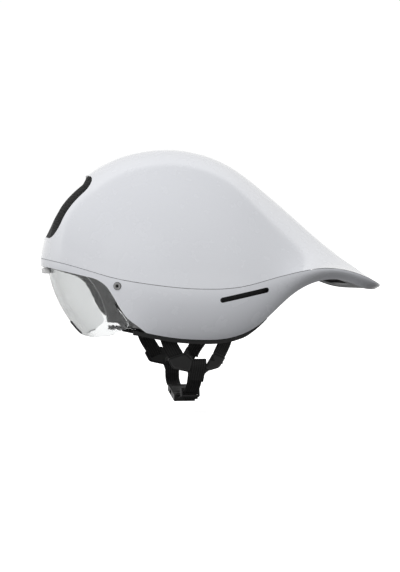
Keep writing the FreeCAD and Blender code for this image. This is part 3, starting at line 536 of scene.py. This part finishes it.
def straps():
    front = ((-18, 76.6, 2), (-13, 77.3, -18), (-8, 77.2, -38), (2.0, 75.2, -56), (2.8, 75.4, -58))
    rear = ((57, 63.5, -2), (54.5, 65.3, -20), (51.5, 67.1, -36), (41.5, 75.0, -55.5), (41.0, 75.4, -57.5))
    chin = ((20, 70.0, -64.0), (19, 68.2, -78.0), (18.5, 58.0, -85.4))
    for name, side in (("left", -1), ("right", 1)):
        _, line = webbing(f"webbing_front_{name}", mm(front, side), (1, 0, 0.35), f"front_strap_{name}")
        box_stitch(f"stitch_front_{name}", line, 3, 9)
        _, line = webbing(f"webbing_rear_{name}", mm(rear, side), (1, -0.54 * side, -0.3), f"rear_strap_{name}")
        box_stitch(f"stitch_rear_{name}", line, 3, 9)
        end = tuple(buckle_point(0.0142) if side < 0 else buckle_point(-0.0315))
        strap, line = webbing(f"webbing_chin_{name}", mm(chin, side) + [end], (1, 0, 0),
                              f"chin_strap_{name}", None if side < 0 else "helmet")
        wrap = ((22.4, 75.6, -54.6), (22.2, 78.4, -56.6), (21.2, 77.9, -66.0), (19.8, 74.6, -76.5))
        webbing(f"webbing_wrap_{name}", mm(wrap, side), (1, 0, 0.05))
        if side < 0:
            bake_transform(strap)
            under = [c - t * (0.002 if t.z > 0 else -0.002) for c, _, _, t in line]
            held = [min(under, key=lambda p: abs(p.y - y)) for y in (-0.052, -0.044)]
            webbing("webbing_tail", [tuple(p) for p in held] + [(0.0215, -0.035, -0.0975)], (1, 0, 0), "strap_tail")


# ---- dividers -------------------------------------------------------------------------------

FRONT_WING = ((-8.9, -53.8), (8.6, -48.3), (15.5, -54.9), (12.8, -66.8), (-3.8, -63.3))
REAR_WING = ((29.0, -63.0), (37.5, -48.3), (48.9, -52.7), (42.7, -62.6), (33.0, -65.5))
CENTRE = ((13.0, -57.0), (29.5, -58.5), (34.0, -65.0), (29.5, -68.5), (26.0, -73.8), (12.8, -73.5), (10.5, -66.0))


def rounded(corners, passes=3, cut=0.1):
    """Closed outline with its corners cut off again and again."""
    points = [Vector(c) for c in corners]
    for _ in range(passes):
        points = [q for a, b in zip(points, points[1:] + points[:1])
                  for q in (a.lerp(b, cut), a.lerp(b, 1 - cut))]
    return points


def divider_point(x, z, side, out=0.0):
    """Point on the divider's plane from its side view, in mm."""
    y = DIVIDER_OUT + (z + DIVIDER_DROP) * math.tan(DIVIDER_LEAN) + out
    return Vector((x, y * side, z)) / 1000


def wing_plate(mesh, corners, side, thick=1.0):
    """Flat panel that fills one part of the divider."""
    outline = rounded(corners)
    faces = [[mesh.verts.new(divider_point(p.x, p.y, side, t)) for p in outline] for t in (-thick, thick)]
    mesh.faces.new(faces[0])
    mesh.faces.new(faces[1][::-1])
    for i in range(len(outline)):
        n = (i + 1) % len(outline)
        mesh.faces.new((faces[0][i], faces[1][i], faces[1][n], faces[0][n]))


def loop_bar(mesh, corners, side, wide=0.85, thick=1.7):
    """Round-edged rim that runs round one part of the divider."""
    outline = rounded(corners)
    rings = []
    for i, here in enumerate(outline):
        ahead = (outline[(i + 1) % len(outline)] - outline[i - 1]).normalized()
        out = Vector((ahead.y, -ahead.x))
        ring = []
        for k in range(12):
            a = math.tau * k / 12
            w, t = wide * math.cos(a), thick * math.sin(a)
            ring.append(mesh.verts.new(divider_point(here.x + out.x * w, here.y + out.y * w, side, t)))
        rings.append(ring)
    for a, b in zip(rings, rings[1:] + rings[:1]):
        for k in range(12):
            n = (k + 1) % 12
            mesh.faces.new((a[k], b[k], b[n], a[n]))


def divider(name, side):
    """Butterfly divider: a rimmed wing for each of the straps and a plain centre for the chin strap."""
    mesh = bmesh.new()
    for corners in (FRONT_WING, REAR_WING, CENTRE):
        wing_plate(mesh, corners, side)
    for corners in (FRONT_WING, REAR_WING):
        loop_bar(mesh, corners, side)
    bmesh.ops.recalc_face_normals(mesh, faces=mesh.faces)
    obj = new_object(f"divider_{name}", baked(name, mesh), BUCKLE)
    round_off(obj, 0.0004, 3)
    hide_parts(f"strap_divider_{name}")
    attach(obj, "helmet")


# ---- grilles --------------------------------------------------------------------------------

def grille(name, node, axis, pitch, wire):
    """Open lattice of triangles in wire, laid on a CAD plate along axis."""
    tree = surface_of(node)
    low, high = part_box(node)
    centre = (low + high) / 2
    across = Vector((0, 1, 0))
    up = axis.normalized().cross(across)
    reach = (high - low).length
    mesh = bmesh.new()
    grid = {}
    rows = int(reach / pitch)

    def vertex(i, j):
        if (i, j) not in grid:
            y = (i + 0.5 * (j % 2) - rows / 2) * pitch
            z = (j - rows / 2) * pitch * TRIANGLE_HEIGHT
            hit = tree.ray_cast(centre + axis * RAY_START + across * y + up * z, -axis)[0]
            grid[i, j] = mesh.verts.new(hit - axis * GRILLE_DEPTH) if hit else None
        return grid[i, j]

    for j in range(rows):
        for i in range(rows):
            odd = j % 2
            lower = ((i, j), (i + 1, j), (i + odd, j + 1))
            upper = ((i + 1, j), (i + 1 + odd, j + 1), (i + odd, j + 1))
            for corners in (lower, upper):
                made = [vertex(*c) for c in corners]
                if all(made):
                    mesh.faces.new(made)
    for v in [v for v in mesh.verts if not v.link_faces]:
        mesh.verts.remove(v)
    obj = new_object(name, baked(name, mesh), MESH, False)
    wires = obj.modifiers.new("wires", "WIREFRAME")
    wires.thickness = wire
    wires.use_even_offset = False
    apply_modifiers(obj)
    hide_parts(node)
    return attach(obj, "helmet")


# ---- pads -----------------------------------------------------------------------------------

def outward(points):
    """Unit directions at points, straight out of an ellipsoid of about the head's size."""
    slope = points / np.array(HEAD_AXES) ** 2
    return slope / np.linalg.norm(slope, axis=1)[:, None]


def cushion(node, body, voxel=0.003, swell=0.0014):
    """A foam pad in knitted fabric: the CAD solid remeshed, taken in and blown up as cloth, off the liner."""
    obj = new_object(f"{node}_fabric", nodes[node].data.copy(), KNIT)
    remesh = obj.modifiers.new("remesh", "REMESH")
    remesh.mode = "VOXEL"
    remesh.voxel_size = voxel
    shrink = obj.modifiers.new("shrink", "DISPLACE")
    shrink.strength = -0.0007
    shrink.mid_level = 0
    apply_modifiers(obj)
    smooth = obj.modifiers.new("smooth", "SMOOTH")
    smooth.iterations = 4
    apply_modifiers(obj)
    start = points_of(obj.data)
    cloth = obj.modifiers.new("cloth", "CLOTH")
    cloth.settings.use_pressure = True
    cloth.settings.uniform_pressure_force = 4
    cloth.settings.quality = 4
    cloth.settings.effector_weights.gravity = 0
    cloth.collision_settings.use_collision = False
    for f in range(1, CLOTH_FRAMES + 1):
        scene.frame_set(f)
    apply_modifiers(obj)
    scene.frame_set(1)
    moved = points_of(obj.data) - start
    out = outward(start)
    moved -= out * np.maximum((moved * out).sum(1), 0)[:, None]
    length = np.linalg.norm(moved, axis=1)[:, None]
    moved *= np.minimum(1, swell / np.maximum(length, 1e-9))
    obj.data.vertices.foreach_set("co", (start + moved).ravel())
    obj.data.update()
    fine = obj.modifiers.new("fine", "SUBSURF")
    fine.levels = 1
    apply_modifiers(obj)
    obj.data.materials.clear()
    obj.data.materials.append(KNIT)
    for polygon in obj.data.polygons:
        polygon.use_smooth = True
    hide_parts(node)
    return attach(obj, body)


# ---- stage ----------------------------------------------------------------------------------

# Brightness at points from straight down (0) to straight up (1), and from beside to behind.
SKY = ((0.0, 0.03), (0.27, 0.10), (0.44, 0.56), (0.495, 1.02), (0.555, 1.02), (0.60, 0.66), (0.80, 0.50))
BACKDROP = ((0.30, 1.5), (0.50, 1.15), (0.75, 0.88), (0.945, 0.88), (0.96, 1.02))


def world_light():
    """Grey studio with a bright horizon, and a white backdrop behind the helmet above the floor's level."""
    world = bpy.data.worlds.new("studio")
    scene.world = world
    world.use_nodes = True
    tree = world.node_tree

    def add(kind, fac, **inputs):
        node = tree.nodes.new(kind)
        for name, value in inputs.items():
            node.inputs[name.replace("_", " ")].default_value = value
        tree.links.new(fac, node.inputs["Fac" if "Fac" in node.inputs else 0])
        return node

    split = tree.nodes.new("ShaderNodeSeparateXYZ")
    tree.links.new(tree.nodes.new("ShaderNodeTexCoord").outputs["Generated"], split.inputs[0])

    def tones(fac, stops):
        ramp = add("ShaderNodeValToRGB", fac)
        for _ in stops[2:]:
            ramp.color_ramp.elements.new(0.5)
        for element, (position, value) in zip(ramp.color_ramp.elements, stops):
            element.position = position
            element.color = (value, value, value, 1)
        return ramp.outputs["Color"]

    behind = add("ShaderNodeMapRange", split.outputs["Y"], From_Min=0.28, From_Max=0.40)
    above = add("ShaderNodeMapRange", split.outputs["Z"], From_Min=-0.10, From_Max=-0.02)
    both = add("ShaderNodeMath", behind.outputs[0])
    both.operation = "MULTIPLY"
    tree.links.new(above.outputs[0], both.inputs[1])
    mix = add("ShaderNodeMixRGB", both.outputs[0])
    level = add("ShaderNodeMapRange", split.outputs["Z"], From_Min=-1)
    tree.links.new(tones(level.outputs[0], SKY), mix.inputs["Color1"])
    tree.links.new(tones(split.outputs["Y"], BACKDROP), mix.inputs["Color2"])
    tree.links.new(mix.outputs["Color"], tree.nodes["Background"].inputs["Color"])


def area_light(name, location, target, width, height, power):
    data = bpy.data.lights.new(name, "AREA")
    data.shape = "RECTANGLE"
    data.size, data.size_y, data.energy = width, height, power
    light = bpy.data.objects.new(name, data)
    scene.collection.objects.link(light)
    light.location = location
    light.rotation_euler = (Vector(target) - Vector(location)).to_track_quat("-Z", "Y").to_euler()
    light.visible_camera = False
    light.visible_glossy = False


def stage():
    low = cad_box[0].z - 0.012
    mesh = bpy.data.meshes.new("floor")
    reach = 40.0
    mesh.from_pydata([(-reach, -reach, low), (reach, -reach, low), (reach, reach, low), (-reach, reach, low)],
                     [], [(0, 1, 2, 3)])
    g = Graph("floor_white", 0.9, Emission_Color=(1, 1, 1, 1), Emission_Strength=0.7)
    g.colour(g.ramp(g.noise(3, 2), [(0.3, grey(0.93)), (0.7, grey(0.95))]))
    floor = new_object("floor", mesh, g.material, False)
    floor.visible_diffuse = False
    floor.visible_glossy = False
    area_light("softbox_top", (0.05, 0.25, 1.6), (0.05, 0.25, 0), 3.0, 2.8, 5)
    area_light("softbox_side", (-0.9, -1.6, 0.9), (0.03, 0, 0.03), 1.4, 1.0, 13)


def camera():
    data = bpy.data.cameras.new("camera")
    data.lens, data.sensor_width = CAMERA_LENS, CAMERA_SENSOR
    data.clip_end = 200
    obj = bpy.data.objects.new("camera", data)
    scene.collection.objects.link(obj)
    level = math.cos(CAMERA_ELEVATION)
    back = Vector((math.sin(CAMERA_AZIMUTH) * level, -math.cos(CAMERA_AZIMUTH) * level,
                   math.sin(CAMERA_ELEVATION)))
    obj.location = CAMERA_TARGET + back * CAMERA_DISTANCE
    obj.rotation_mode = "QUATERNION"
    obj.rotation_quaternion = (-back).to_track_quat("-Z", "Y")
    scene.camera = obj


finish_cad()
camera()
world_light()
stage()
straps()
for divider_name, divider_side in (("left", -1), ("right", 1)):
    divider(divider_name, divider_side)
softened("buckle_socket_moulded", "buckle_socket", BUCKLE)
softened("buckle_plug_moulded", "buckle_plug", BUCKLE)
softened("strap_keeper_moulded", "strap_keeper", RUBBER, 0.0003, 3)
softened("brow_clip_moulded", "brow_clip", CLIP)
grille("intake_grille", "intake_mesh", INTAKE_AXIS, 0.0042, 0.0011)
grille("top_vent_grille", "top_vent_mesh", VENT_AXIS, 0.0042, 0.0011)
grille("exhaust_grille", "exhaust_mesh", Vector((0, 0, -1)), 0.006, 0.0014)
for pad_node in sorted(n for n in nodes if n.endswith("pad") or "_pad_" in n):
    if pad_node != "visor_thumb_pad":
        cushion(pad_node, "fit_cradle" if pad_node == "cradle_pad" else "helmet")

scene.view_settings.view_transform = "Standard"
